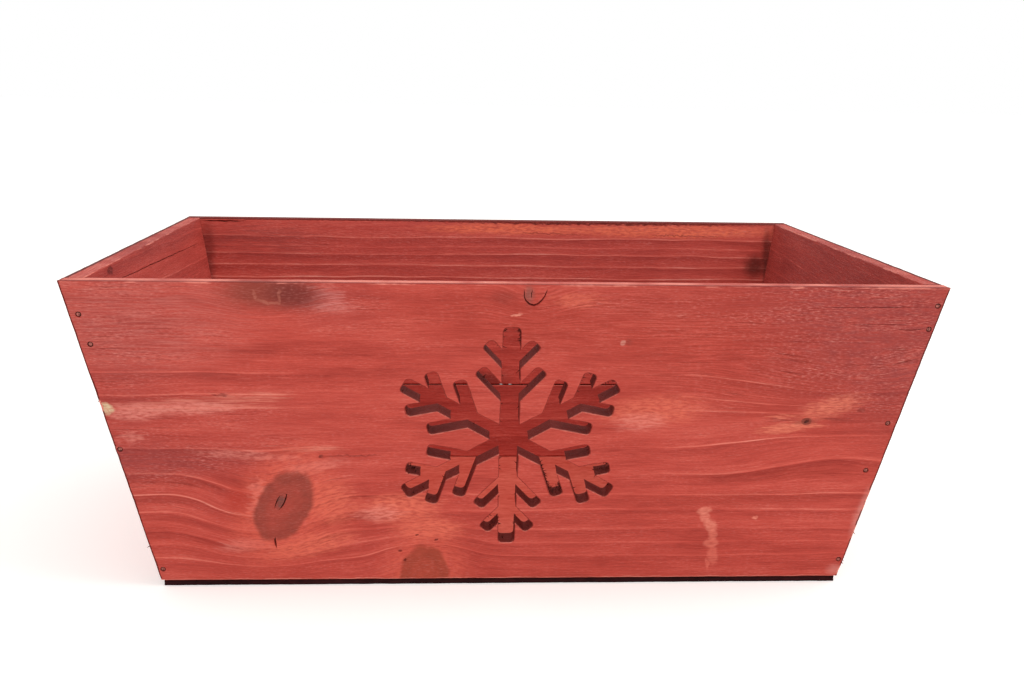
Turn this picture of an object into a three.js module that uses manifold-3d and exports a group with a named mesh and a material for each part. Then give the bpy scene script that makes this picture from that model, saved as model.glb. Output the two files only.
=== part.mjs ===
// Open box with four flared walls, nailed together from planed softwood boards: a front board with a
// snowflake sawn through it, a back of two boards, two end boards held between them, and a thin bottom
// panel nailed on from below.
// Millimetres, +Z up, front towards -Y, origin at the middle of the underside.
import * as THREE from "three";
import { mergeVertices } from "three/addons/utils/BufferGeometryUtils.js";
import Module from "manifold-3d";

const wasm = await Module();
wasm.setup();

// Overall sizes
const RIM_LENGTH = 400; // outside, along X
const RIM_DEPTH = 268; // outside, along Y
const WALL_HEIGHT = 154; // straight up, from the lower edge of a wall to its rim
const FLARE = THREE.MathUtils.degToRad(11.2); // lean of every wall away from upright

// Stock
const BOARD = 9; // thickness of the front and back boards
const END_BOARD = 8.5; // thickness of the end boards
const PANEL = 3; // thickness of the bottom panel
const PANEL_INSET = 1.2; // bottom panel short of the walls' outer faces
const BACK_LOWER_WIDTH = 46; // lower back board, up its slope
const BACK_SEAM = 0.6; // opening between the two back boards

// Fits
const SEAT_GAP = 0.3; // between pieces that bear on each other
const OVERCUT = 4; // how far a cut runs out past the surface it starts from
const WELD = 1e-4; // corners nearer than this are one

// Snowflake, its centre halfway up the front board
const FLAKE_ARMS = 6;
const ARM = { length: 57.5, rootWidth: 9.2, tipWidth: 7.9 };
const BRANCH_WIDTH = 6.2;
const BRANCH_ANGLE = THREE.MathUtils.degToRad(42); // between a branch and its arm
const BRANCHES = [
  { at: 20, length: 21.8 }, // inner pair, distance out along the arm
  { at: 37, length: 17 }, // outer pair
];
const TIP_RADIUS = 2; // corners of every arm and branch end
const TIP_SEGMENTS = 2; // a corner arc is drawn with twice as many

// Nails
const NAIL = { length: 22, shankRadius: 0.7, headRadius: 1.2, headThickness: 0.7, point: 2 };
const PANEL_NAIL = { ...NAIL, length: 16 };
const NAIL_SINK = 0.4; // head below the surface
const NAIL_SIDES = 8;
// Nails driven by eye through the front and back into the end boards: how far up its own board, as a share
// of the board's width, and how far it strays inwards from the middle of the end board's thickness, as a
// share of that thickness.
const FRONT_LEFT_NAILS = [
  { up: 0.899, stray: 0 },
  { up: 0.807, stray: 0.085 },
  { up: 0.467, stray: -0.26 },
  { up: 0.041, stray: -0.19 },
];
const FRONT_RIGHT_NAILS = [
  { up: 0.943, stray: -0.19 },
  { up: 0.869, stray: -0.19 },
  { up: 0.557, stray: 0.035 },
  { up: 0.392, stray: 0.235 },
  { up: 0.064, stray: -0.21 },
];
const BACK_UPPER_NAILS = [
  { up: 0.9, stray: 0 },
  { up: 0.5, stray: 0.07 },
  { up: 0.1, stray: -0.06 },
];
const BACK_LOWER_NAILS = [
  { up: 0.78, stray: 0.05 },
  { up: 0.19, stray: -0.09 },
];
// Nails up through the bottom panel
const PANEL_NAILS_LONG = 4; // into the front board and into the lower back board
const PANEL_NAILS_SHORT = 2; // into each end board
const PANEL_NAIL_LINE = 0.44; // in from the wall's outer face, as a share of the wall's thickness
const PANEL_NAIL_CORNER = 42; // first and last nail of a row from the corner of the box

// Worked out from the sizes above
const tanFlare = Math.tan(FLARE);
const wallFoot = PANEL + SEAT_GAP;
const rim = wallFoot + WALL_HEIGHT;
const slope = WALL_HEIGHT / Math.cos(FLARE); // a wall measured up its face
const spread = WALL_HEIGHT * tanFlare; // how far the rim overhangs the foot
const footLength = RIM_LENGTH - 2 * spread;
const footDepth = RIM_DEPTH - 2 * spread;
const boardLevel = BOARD / Math.cos(FLARE); // thickness measured level
const endLevel = END_BOARD / Math.cos(FLARE);
const seamTop = BACK_LOWER_WIDTH + BACK_SEAM;

const stainedSpruce = new THREE.MeshStandardMaterial({ color: 0xb4483f, roughness: 0.62, metalness: 0 });
const stainedHardboard = new THREE.MeshStandardMaterial({ color: 0x4a1a1a, roughness: 0.75, metalness: 0 });
const nailSteel = new THREE.MeshStandardMaterial({ color: 0x4b3a37, roughness: 0.45, metalness: 0.9 });

const xAxis = new THREE.Vector3(1, 0, 0);
const yAxis = new THREE.Vector3(0, 1, 0);
const zAxis = new THREE.Vector3(0, 0, 1);
// A side view swept along X, and a front view swept along Y.
const alongX = new THREE.Matrix4().makeBasis(yAxis, zAxis, xAxis);
const alongY = new THREE.Matrix4().makeBasis(xAxis, zAxis, yAxis.clone().negate());

// A closed geometry as a solid that can be joined and cut.
function solid(geometry) {
  const bare = geometry.clone();
  bare.deleteAttribute("normal");
  bare.deleteAttribute("uv");
  const merged = mergeVertices(bare, WELD);
  return new wasm.Manifold(
    new wasm.Mesh({
      numProp: 3,
      vertProperties: merged.attributes.position.array,
      triVerts: new Uint32Array(merged.index.array),
    }),
  );
}

function geometryOf(body) {
  const mesh = body.getMesh();
  return new THREE.BufferGeometry()
    .setAttribute("position", new THREE.BufferAttribute(mesh.vertProperties, 3))
    .setIndex(new THREE.BufferAttribute(mesh.triVerts, 1));
}

function outline(points) {
  return new THREE.Shape(points.map(([x, y]) => new THREE.Vector2(x, y)));
}

// A flat outline swept both ways from the middle of the box, through the view that the matrix gives.
function swept(shape, length, view) {
  const geometry = new THREE.ExtrudeGeometry(shape, { depth: length, bevelEnabled: false });
  geometry.translate(0, 0, -length / 2).applyMatrix4(view);
  return solid(geometry);
}

// The box seen square on: a trapezium between the walls' faces, set in by a level distance on both sides.
function trapezium(footSize, inset) {
  const foot = footSize / 2 - inset;
  const top = foot + spread;
  return outline([[-foot, wallFoot], [foot, wallFoot], [top, rim], [-top, rim]]);
}

// The cross-section of a leaning wall: level at its foot and rim, on the side of the box that side names.
function leaningSection(side, footSize, levelThickness) {
  const foot = footSize / 2;
  const corners = [
    [foot, wallFoot],
    [foot + spread, rim],
    [foot + spread - levelThickness, rim],
    [foot - levelThickness, wallFoot],
  ];
  return outline(corners.map(([out, up]) => [side * out, up]));
}

// The outer face of the front (side -1) or the back (side 1) as a frame: its origin is the middle of the
// lower edge, X runs along the board, Y up its slope and Z out of the face.
function faceFrame(side) {
  const along = new THREE.Vector3(-side, 0, 0);
  const up = new THREE.Vector3(0, side * Math.sin(FLARE), Math.cos(FLARE));
  const out = new THREE.Vector3(0, side * Math.cos(FLARE), -Math.sin(FLARE));
  return new THREE.Matrix4()
    .makeBasis(along, up, out)
    .setPosition(0, (side * footDepth) / 2, wallFoot);
}

const frontFace = faceFrame(-1);
const backFace = faceFrame(1);
// The underside of the bottom panel as a frame whose Z points down.
const underside = new THREE.Matrix4().makeRotationX(Math.PI);

// One arm or branch of the snowflake: a bar along +Y with rounded corners at its far end, deep enough to
// run out of both faces of the front board.
function flakeBar(length, rootWidth, tipWidth) {
  const root = rootWidth / 2;
  const tip = tipWidth / 2;
  const shape = new THREE.Shape();
  shape.moveTo(-root, 0);
  shape.lineTo(root, 0);
  shape.lineTo(tip, length - TIP_RADIUS);
  shape.absarc(tip - TIP_RADIUS, length - TIP_RADIUS, TIP_RADIUS, 0, Math.PI / 2);
  shape.absarc(TIP_RADIUS - tip, length - TIP_RADIUS, TIP_RADIUS, Math.PI / 2, Math.PI);
  return new THREE.ExtrudeGeometry(shape, {
    depth: BOARD + 2 * OVERCUT,
    curveSegments: TIP_SEGMENTS,
    bevelEnabled: false,
  }).translate(0, 0, -BOARD - OVERCUT);
}

function snowflakeCut() {
  const bars = [];
  for (let arm = 0; arm < FLAKE_ARMS; arm++) {
    const turn = (arm * 2 * Math.PI) / FLAKE_ARMS;
    bars.push(flakeBar(ARM.length, ARM.rootWidth, ARM.tipWidth).rotateZ(turn));
    for (const { at, length } of BRANCHES) {
      for (const lean of [-BRANCH_ANGLE, BRANCH_ANGLE]) {
        const branch = flakeBar(length, BRANCH_WIDTH, BRANCH_WIDTH).rotateZ(lean);
        bars.push(branch.translate(0, at, 0).rotateZ(turn));
      }
    }
  }
  return bars
    .map((bar) => solid(bar.translate(0, slope / 2, 0).applyMatrix4(frontFace)))
    .reduce((whole, bar) => whole.add(bar));
}

// A wire nail along Z, its head towards +Z and the top of the head at zero. With a clearance it becomes
// the hole that the nail sits in, open past its head.
function nailGeometry(nail, clearance = 0, above = 0) {
  const shank = nail.shankRadius + clearance;
  const head = nail.headRadius + clearance;
  const tip = -nail.length - clearance;
  const profile = [
    [0, tip],
    [shank, tip + nail.point],
    [shank, -nail.headThickness - clearance],
    [head, -nail.headThickness - clearance],
    [head, above],
    [0, above],
  ].map(([radius, height]) => new THREE.Vector2(radius, height));
  return new THREE.LatheGeometry(profile, NAIL_SIDES).rotateX(Math.PI / 2);
}

// A row of nails in a face: its group carries the nails, and its holes are what they displace.
function nailRow(name, face, nail, places) {
  const group = new THREE.Group();
  group.applyMatrix4(face);
  const holes = places.map(([along, up], index) => {
    const mesh = new THREE.Mesh(nailGeometry(nail), nailSteel);
    mesh.name = `${name}_${index + 1}`;
    mesh.position.set(along, up, -NAIL_SINK);
    group.add(mesh);
    const hole = nailGeometry(nail, SEAT_GAP, OVERCUT);
    return solid(hole.translate(along, up, -NAIL_SINK).applyMatrix4(face));
  });
  return { group, holes };
}

// Places for nails that enter an end board through a board of the front or back that lies between two
// distances up the slope, at the face's +X or -X end.
function edgePlaces(end, low, high, nails) {
  return nails.map(({ up, stray }) => {
    const height = THREE.MathUtils.lerp(low, high, up);
    const slantedEdge = footLength / 2 + height * Math.sin(FLARE);
    return [end * (slantedEdge - endLevel * (0.5 + stray)), height];
  });
}

function backPlaces(end) {
  return [
    ...edgePlaces(end, seamTop, slope, BACK_UPPER_NAILS),
    ...edgePlaces(end, 0, BACK_LOWER_WIDTH, BACK_LOWER_NAILS),
  ];
}

function spacedAlong(size, count) {
  const reach = size / 2 - PANEL_NAIL_CORNER;
  return Array.from({ length: count }, (_, index) => reach * ((2 * index) / (count - 1) - 1));
}

const longLine = footDepth / 2 - PANEL_NAIL_LINE * boardLevel;
const shortLine = footLength / 2 - PANEL_NAIL_LINE * endLevel;
const longPlaces = spacedAlong(footLength, PANEL_NAILS_LONG);
const shortPlaces = spacedAlong(footDepth, PANEL_NAILS_SHORT);
// In the underside's frame +Y is towards the front.
const nailRows = [
  nailRow("nail_front_left", frontFace, NAIL, edgePlaces(-1, 0, slope, FRONT_LEFT_NAILS)),
  nailRow("nail_front_right", frontFace, NAIL, edgePlaces(1, 0, slope, FRONT_RIGHT_NAILS)),
  nailRow("nail_back_left", backFace, NAIL, backPlaces(1)),
  nailRow("nail_back_right", backFace, NAIL, backPlaces(-1)),
  nailRow("nail_bottom_front", underside, PANEL_NAIL, longPlaces.map((x) => [x, longLine])),
  nailRow("nail_bottom_back", underside, PANEL_NAIL, longPlaces.map((x) => [x, -longLine])),
  nailRow("nail_bottom_left", underside, PANEL_NAIL, shortPlaces.map((y) => [-shortLine, y])),
  nailRow("nail_bottom_right", underside, PANEL_NAIL, shortPlaces.map((y) => [shortLine, y])),
];
const nailHoles = nailRows.flatMap((row) => row.holes).reduce((all, hole) => all.add(hole));

// A long wall: its section swept along the box, trimmed to the trapezium of the front view.
function longWall(side) {
  return swept(leaningSection(side, footDepth, boardLevel), RIM_LENGTH, alongX).intersect(
    swept(trapezium(footLength, 0), RIM_DEPTH, alongY),
  );
}

// An end board: its section swept across the box, trimmed square to the inner faces of front and back.
function endBoard(side) {
  return swept(leaningSection(side, footLength, endLevel), RIM_DEPTH, alongY).intersect(
    swept(trapezium(footDepth, boardLevel + SEAT_GAP), RIM_LENGTH, alongX),
  );
}

// What is left of the back between two distances up its slope, sawn square to its faces.
function backBoard(low, high) {
  const saw = new THREE.BoxGeometry(RIM_LENGTH, high - low, 2 * RIM_DEPTH);
  saw.translate(0, (low + high) / 2, 0).applyMatrix4(backFace);
  return longWall(1).intersect(solid(saw));
}

function bottomPanel() {
  const panel = new THREE.BoxGeometry(footLength - 2 * PANEL_INSET, footDepth - 2 * PANEL_INSET, PANEL);
  return solid(panel.translate(0, 0, PANEL / 2));
}

const pieces = [
  { name: "front_board", body: longWall(-1).subtract(snowflakeCut()), material: stainedSpruce },
  { name: "back_lower_board", body: backBoard(-OVERCUT, BACK_LOWER_WIDTH), material: stainedSpruce },
  { name: "back_upper_board", body: backBoard(seamTop, slope + OVERCUT), material: stainedSpruce },
  { name: "left_end_board", body: endBoard(-1), material: stainedSpruce },
  { name: "right_end_board", body: endBoard(1), material: stainedSpruce },
  { name: "bottom_panel", body: bottomPanel(), material: stainedHardboard },
];

const box = new THREE.Group();
for (const { name, body, material } of pieces) {
  const mesh = new THREE.Mesh(geometryOf(body.subtract(nailHoles)), material);
  mesh.name = name;
  box.add(mesh);
}
for (const row of nailRows) {
  box.add(row.group);
}

export default box;
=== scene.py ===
"""Looks for a flared, open-topped box nailed together from red-stained spruce boards."""
import math
from collections import namedtuple

import bpy
import numpy as np
from mathutils import Matrix, Vector
from mathutils.geometry import delaunay_2d_cdt


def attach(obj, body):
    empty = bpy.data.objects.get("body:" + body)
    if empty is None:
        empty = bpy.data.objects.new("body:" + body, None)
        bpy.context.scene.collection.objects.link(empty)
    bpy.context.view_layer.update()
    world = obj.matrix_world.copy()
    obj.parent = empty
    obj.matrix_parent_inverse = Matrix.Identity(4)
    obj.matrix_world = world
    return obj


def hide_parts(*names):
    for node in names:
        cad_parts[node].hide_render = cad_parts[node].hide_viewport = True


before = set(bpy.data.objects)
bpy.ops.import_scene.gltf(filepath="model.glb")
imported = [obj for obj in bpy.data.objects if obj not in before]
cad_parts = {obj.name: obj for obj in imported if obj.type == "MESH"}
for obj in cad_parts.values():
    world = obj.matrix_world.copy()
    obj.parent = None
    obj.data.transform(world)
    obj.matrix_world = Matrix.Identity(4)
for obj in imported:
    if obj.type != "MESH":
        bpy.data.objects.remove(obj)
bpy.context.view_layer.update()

MM = 0.001
rng = np.random.default_rng(24)

# Board making, in millimetres
ARRIS_STEP = 1.5  # between points along an arris
FACE_STEP = 4.0  # between points inside a flat face
FACE_JITTER = 0.9  # how far those points stray from their grid
FACE_CLEARANCE = 1.6  # between those points and any edge
FLAKE_STEP = 1.1  # between points round the snowflake
SPLIT_STEP = 2.2  # between points along a drying split
WEAR_EDGE = 0.15  # over which a worn arris fades into sound wood
FLAKE_WEAR_EDGE = 0.1  # the same round the snowflake, whose wood comes to sharp points
FACE_LINE = 0.08  # beside an arris on the outer face, where the stain gathers
END_LINE = 0.3  # the same along end grain, where the dark line is also painted shade on an arris turned from the light
CUT_LINE = 0.4  # the same on the cut side
SAWN_ROUGHNESS = 0.12  # how deep the marks of the saw are
NAIL_LIP = 0.15  # how far the crushed wood round a nail's head reaches
NAIL_RECESS = 1.27  # radius of the hole that a nail's head made
NAIL_RECESS_DEPTH = 1.5
NAIL_BORE = 0.95  # radius of the hole round a nail's shank
NAIL_HOLE_SIDES = 20
NAIL_CLEARANCE = 1.1  # times the lip's radius that worn arrises keep clear of a nail
MITRE_LIMIT = 0.2  # keeps the mitre of a very sharp corner from running away
BAND_SHARE = 0.7  # of the room beside a nail that rounding may take, and of its radius that each try leaves
BAND_LEAST = 0.05  # rounding that is left beside a nail
BAND_TRIES = 20  # at bringing down rounding that folds over
BAND_FOLD = 0.25  # of an edge's length: a band shorter than that beside the edge is folding over

# Reading a board off its CAD node
FACING = 0.9  # cosine of the widest turn between a board's outer face and the way it is asked for
FLAT = 0.01  # how far the points of a face may lie off its plane, in mm
SHARP_BEND = 0.02  # sine of the least turn that counts as a corner
NAIL_LOOP_POINTS = 40  # a loop with more points than this is a cut-out and not a nail's hole

# Sides of a board's outline, in order from its lower left corner
FOOT, RIGHT, RIM, LEFT = range(4)

# The looks of a rim: how dark it is on the face side and on the cut side of its outer arris, on top and in its
# inner arris, stain together with painted shade where the light misses it; how pale its top and its inner arris
# are, rubbed bare together with a painted highlight where the light falls on them; and how far stain gathers
# from its outer arris on the face and on the cut
Rim = namedtuple("Rim", "face_dark cut_dark top_dark inner_dark top_bare inner_bare face_line cut_line",
                 defaults=(0.0, 0.0, 0.0, 0.0, 0.0, 0.0, FACE_LINE, CUT_LINE))
END_GRAIN_DARK = (1.0, 1.0, 0.8, 0.9)  # the first four of these along end grain: drunk stain together with painted shade on an arris turned from the light
FOOT_DARK = (0.0, 0.0, 0.15, 0.0)  # and along a board's foot
OUTER_CUT_RINGS = slice(3, 6)  # the rings of a cut wall on the cut side of its outer arris


def put(name, data):
    """A new object in the scene."""
    thing = bpy.data.objects.new(name, data)
    bpy.context.scene.collection.objects.link(thing)
    return thing


class Board:
    """A board read off its CAD node. Its own frame lies on the outer face: a along it, u up it, d into it."""

    def __init__(self, node, outward, upward):
        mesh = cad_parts[node].data
        mesh.calc_loop_triangles()
        points = np.array([v.co[:] for v in mesh.vertices]) / MM
        self.points, index = np.unique(points.round(3), axis=0, return_inverse=True)
        self.triangles = index.ravel()[np.array([t.vertices[:] for t in mesh.loop_triangles])]
        p, q, r = (self.points[self.triangles[:, i]] for i in range(3))
        normals = np.cross(q - p, r - p)
        area = np.linalg.norm(normals, axis=1, keepdims=True)
        normals /= np.maximum(area, 1e-9)
        facing = normals @ np.array(outward, float) > FACING
        self.out = normals[np.argmax(area[:, 0] * facing)]
        self.up = np.array(upward, float) - np.dot(upward, self.out) * self.out
        self.up /= np.linalg.norm(self.up)
        self.along = np.cross(self.up, self.out)
        self.node = node
        self.plane = (self.points @ self.out).max()
        self.thickness = self.plane - (self.points @ self.out).min()
        self.foot = 0.0
        outer = self.face_loops(1)
        self.foot = outer[0][:, 1].min()
        outer = [loop - (0, self.foot) for loop in outer]
        self.corners = sharp_corners(outer[0])
        self.cut_outs = [loop for loop in outer[1:] if len(loop) > NAIL_LOOP_POINTS]
        self.nail_places = [loop.mean(0) for loop in outer[1:] if len(loop) <= NAIL_LOOP_POINTS]
        inner = sharp_corners(self.face_loops(-1)[0][::-1])
        start = np.argmin(np.linalg.norm(inner - self.corners[0], axis=1))
        self.inner_corners = np.roll(inner, -start, axis=0)

    def face_loops(self, side):
        """The loops round the outer (1) or inner (-1) face, the outline first, wood on the left of each."""
        height = self.points @ self.out
        level = self.plane if side > 0 else self.plane - self.thickness
        flat = np.abs(height[self.triangles] - level).max(1) < FLAT
        edges = {tuple(e) for t in self.triangles[flat] for e in (t[:2], t[1:], t[[2, 0]])}
        following = {a: b for a, b in edges if (b, a) not in edges}
        loops = []
        while following:
            start, at = following.popitem()
            loop = [start]
            while at != start:
                loop.append(at)
                at = following.pop(at)
            loops.append(self.points[loop] @ np.array([self.along, self.up]).T - (0, self.foot))
        return sorted(loops, key=lambda loop: -np.ptp(loop[:, 0]))

    def place(self, a, u, d):
        """Points of the board's frame in the box's frame, in metres."""
        a, u, d = (np.asarray(x, float)[..., None] for x in (a, u, d))
        return (a * self.along + (u + self.foot) * self.up + (self.plane - d) * self.out) * MM

    def where(self, tree):
        """Adds the nodes that give each point's a, u and height above the outer face."""
        turn = Matrix((self.along, self.up, self.out))
        return add(tree, "Mapping", {
            "Vector": add(tree, "TexCoord").outputs["Object"], "Scale": (1 / MM,) * 3,
            "Rotation": turn.to_euler("XYZ")[:], "Location": (0, -self.foot, -self.plane)})


def sharp_corners(loop):
    """A loop's corners, from the one at the lower left, without the points along its straight sides."""
    before, after = np.roll(loop, 1, axis=0) - loop, np.roll(loop, -1, axis=0) - loop
    bend = np.abs(before[:, 0] * after[:, 1] - before[:, 1] * after[:, 0])
    bend /= np.linalg.norm(before, axis=1) * np.linalg.norm(after, axis=1)
    corners = loop[bend > SHARP_BEND]
    return np.roll(corners, -np.argmin(corners.sum(1)), axis=0)


def ripple(length, step, low, high):
    """A wavy course between low and high, with a new value every step along a length."""
    knots = np.arange(0, length + 2 * step, step)
    values = rng.uniform(low, high, len(knots))
    return lambda s: np.interp(s, knots, values)


def left_hand(loop):
    """At each point of a loop, the direction into the wood that moves both its sides by the same distance."""
    step = np.roll(loop, -1, axis=0) - loop
    step /= np.linalg.norm(step, axis=1, keepdims=True)
    side = np.stack([-step[:, 1], step[:, 0]], 1)
    before = np.roll(side, 1, axis=0)
    share = 1 + (side * before).sum(1, keepdims=True)
    return (side + before) / np.maximum(share, MITRE_LIMIT)


def stepped(corners, other, spacing):
    """Points at a spacing round a loop and at the same shares round a second one: both places, the number of
    the side and the distance along it."""
    first, second, sides, runs = [], [], [], []
    for k in range(len(corners)):
        a0, a1 = corners[k], corners[(k + 1) % len(corners)]
        b0, b1 = other[k], other[(k + 1) % len(corners)]
        length = np.linalg.norm(a1 - a0)
        count = max(1, round(length / spacing))
        share = np.arange(count) / count
        first.append(a0 + share[:, None] * (a1 - a0))
        second.append(b0 + share[:, None] * (b1 - b0))
        sides.append(np.full(count, k))
        runs.append(share * length)
    return (np.concatenate(x) for x in (first, second, sides, runs))


def arris_wear(sides, runs, chips, softness, rubbed=1.0, rim_rubbed=1.0):
    """How far an arris is rounded at each point, and how bare it is rubbed. A chip is its side, where along it,
    half its length, its depth and how bare it is. A foot is rubbed most, and uprights the least."""
    total = len(sides) * ARRIS_STEP
    s = np.arange(len(sides)) * ARRIS_STEP
    # Rounding changes every 7 mm or so and bareness every 11 mm, both with finer unevenness on top
    radius = softness * ripple(total, 7, 0.5, 1.3)(s) * rng.uniform(0.8, 1.25, len(s))
    bare = np.clip(ripple(total, 11, -0.25, 0.8)(s) + rng.uniform(-0.2, 0.2, len(s)), 0, 1)
    upright = (sides == LEFT) | (sides == RIGHT)
    radius = radius * np.select([sides == FOOT, upright], [1.8, 1.3], 1.0)
    bare = rubbed * np.select(
        [sides == FOOT, sides == RIM], [0.5 + 0.5 * bare, rim_rubbed * bare], 0.15 * bare)
    for side, where, half, depth, paleness in chips:
        scoop = np.clip(1 - ((runs - where) / half) ** 2, 0, 1) * (sides == side)
        radius = np.maximum(radius, depth * np.sqrt(scoop) * rng.uniform(0.75, 1.1, len(s)))
        bare = np.where(scoop > 0, np.maximum(bare, paleness), bare)
    return radius, bare


def kept_open(loop, radius, fade, holes=(), clearance=0.0):
    """Rounding radii brought down where the band they need would fold over at a sharp point of the wood or
    reach a nail's hole."""
    radius = radius.copy()
    for centre in holes:
        room = BAND_SHARE * (np.linalg.norm(loop - centre, axis=1) - clearance - fade)
        radius = np.minimum(radius, np.maximum(room, BAND_LEAST))
    normal, step = left_hand(loop), np.roll(loop, -1, axis=0) - loop
    for _ in range(BAND_TRIES):
        band = loop + (radius + fade)[:, None] * normal
        folded = ((np.roll(band, -1, axis=0) - band) * step).sum(1) < BAND_FOLD * (step ** 2).sum(1)
        radius = np.where(folded | np.roll(folded, 1), BAND_SHARE * radius, radius)
    return radius


def cut_wall(outer, inner, thickness, outer_wear, inner_wear, fade, between=0.0, swell=0.0,
             lines=(FACE_LINE, CUT_LINE)):
    """The rings of points that carry a loop from the outer face round both arrises to the inner face: places
    as (a, u, d) and bareness, one row a ring. Between is how bare the wood is from one arris to the other,
    together with any painted highlight on a lit rim, and swell how far it bulges there. Lines are how far stain
    gathers from the outer arris, on the face and on the cut."""
    normal = left_hand(outer)
    (near, near_bare), (far, far_bare) = outer_wear, inner_wear
    none = np.zeros(len(outer))
    top = none + between
    rough = [rng.uniform(0, SAWN_ROUGHNESS, len(outer)) * (none + swell == 0) - swell for _ in range(2)]
    rings = [
        (near + lines[0] + fade, none, none), (near + lines[0], none, near_bare), (near, none, near_bare),
        (0.3 * near, 0.3 * near, near_bare), (none, near, near_bare), (none, near + lines[1], near_bare),
        (none, near + lines[1] + fade, top),
        (rough[0], none + thickness * 0.38, top), (rough[1], none + thickness * 0.62, top),
        (none, thickness - far - fade, top), (none, thickness - far, far_bare),
        (0.3 * far, thickness - 0.3 * far, far_bare), (far, none + thickness, far_bare),
        (far + fade, none + thickness, none),
    ]
    places, bareness = [], []
    for inset, depth, bare in rings:
        flat = outer + (inner - outer) * (depth / thickness)[:, None] + inset[:, None] * normal
        places.append(np.column_stack([flat, depth]))
        bareness.append(bare)
    return np.array(places), np.array(bareness)


def inside(points, loops):
    """Which points lie on the face: a line to the right from them crosses its loops an odd number of times."""
    odd = np.zeros(len(points), bool)
    for loop in loops:
        for (x0, y0), (x1, y1) in zip(loop, np.roll(loop, -1, axis=0)):
            if y0 != y1:
                spans = (y0 > points[:, 1]) != (y1 > points[:, 1])
                odd ^= spans & (points[:, 0] < x0 + (points[:, 1] - y0) * (x1 - x0) / (y1 - y0))
    return odd


def split_points(path, width, depth):
    """A drying split as points: the path's ends, then along it the two lips and the bottom between them, with
    the depth of each and the edges that join them."""
    path = np.array(path, float)
    run = np.concatenate([[0], np.cumsum(np.linalg.norm(np.diff(path, axis=0), axis=1))])
    share = np.linspace(0, 1, max(4, round(run[-1] / SPLIT_STEP)) + 1)
    line = np.column_stack([np.interp(share * run[-1], run, path[:, i]) for i in range(2)])
    line[1:-1] += rng.normal(0, 0.12 * min(1, width * 2), (len(line) - 2, 2))
    step = np.gradient(line, axis=0)
    side = np.column_stack([-step[:, 1], step[:, 0]]) / np.linalg.norm(step, axis=1, keepdims=True)
    swell = np.sin(np.pi * share) ** 0.6 * rng.uniform(0.7, 1.2, len(share))
    middle = slice(1, -1)
    lips = [line[middle] + s * side[middle] * (width / 2 * swell[middle])[:, None] for s in (1, -1)]
    points = np.concatenate([line[[0, -1]], *lips, line[middle]])
    depths = np.concatenate([np.zeros(2 + 2 * len(lips[0])), depth * swell[middle]])
    count = len(lips[0])
    edges = []
    for row in range(3):
        chain = [0, *range(2 + row * count, 2 + (row + 1) * count), 1]
        edges += list(zip(chain, chain[1:]))
    return points, depths, edges


class Shell:
    """Gathers a piece's points and faces in a board's frame, with how bare and how sawn the wood is there.
    Both also carry painted highlight and painted shade.
    """

    def __init__(self):
        self.points, self.bare, self.sawn, self.faces, self.count = [], [], [], [], 0

    def take(self, points, bare=0.0, sawn=0.0):
        self.points.append(points)
        self.bare.append(np.broadcast_to(bare, len(points)))
        self.sawn.append(np.broadcast_to(sawn, len(points)))
        self.count += len(points)
        return np.arange(self.count - len(points), self.count)

    def take_wall(self, places, bareness, sawn):
        """A closed strip of quads through rings of points, and the point numbers of its first and last ring.
        Each ring has its bareness, with any painted highlight, and how much stain the cut drank there, with any
        painted shade."""
        rows = [self.take(*ring) for ring in zip(places, bareness, sawn)]
        for upper, lower in zip(rows, rows[1:]):
            following, beneath = np.roll(upper, -1), np.roll(lower, -1)
            self.faces += np.column_stack([upper, lower, beneath, following]).tolist()
        return rows[0], rows[-1]

    def take_face(self, rings, depth, inward, splits=()):
        """A flat face between loops whose points are already taken, with drying splits in it. Inward is 1 on
        the outer face and -1 on the inner. A split is its path, its width and its depth."""
        points = np.concatenate(self.points)
        loops = [points[ring][:, :2] for ring in rings]
        flat, owners, edges, start = list(loops), list(rings), [], 0
        for loop in loops:
            number = np.arange(start, start + len(loop))
            edges += np.column_stack([number, np.roll(number, -1)]).tolist()
            start += len(loop)
        for path, width, cut in splits:
            extra, depths, joins = split_points(path, width, cut)
            flat.append(extra)
            places = np.column_stack([extra, depth + inward * depths])
            owners.append(self.take(places, sawn=1.0 * (depths > 0)))
            edges += [(start + a, start + b) for a, b in joins]
            start += len(extra)
        spans = zip(loops[0].min(0), loops[0].max(0))
        grid = np.meshgrid(*(np.arange(low, high, FACE_STEP) for low, high in spans))
        grid = np.stack(grid, -1).reshape(-1, 2)
        grid = grid + rng.uniform(-FACE_JITTER, FACE_JITTER, grid.shape)
        grid = grid[inside(grid, loops)]
        fixed = np.concatenate(flat)
        clear = [np.min(((fixed - p) ** 2).sum(1)) > FACE_CLEARANCE ** 2 for p in grid]
        grid = grid[np.array(clear, bool)]
        flat.append(grid)
        owners.append(self.take(np.column_stack([grid, np.full(len(grid), depth)])))
        owner = np.concatenate(owners)
        made = delaunay_2d_cdt([Vector(p) for p in np.concatenate(flat)], edges, [], 0, 1e-6)
        corners, triangles, origin = np.array([v[:] for v in made[0]]), np.array(made[2]), made[3]
        assert all(origin), "the loops of a face cross"
        for triangle in triangles[inside(corners[triangles].mean(1), loops)]:
            face = [int(owner[origin[i][0]]) for i in triangle]
            self.faces.append(face if inward > 0 else face[::-1])

    def finish(self, name, board):
        """The piece as a mesh, with only those points that a face uses."""
        used = np.unique(np.concatenate([np.array(face) for face in self.faces]))
        renumber = {int(n): i for i, n in enumerate(used)}
        places = board.place(*np.concatenate(self.points)[used].T)
        mesh = bpy.data.meshes.new(name)
        mesh.from_pydata(places.tolist(), [], [[renumber[i] for i in face] for face in self.faces])
        for layer, values in (("bare", self.bare), ("sawn", self.sawn)):
            attribute = mesh.attributes.new(layer, "FLOAT", "POINT")
            attribute.data.foreach_set("value", np.concatenate(values)[used].astype(np.float32))
        return put(name, mesh)


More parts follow.
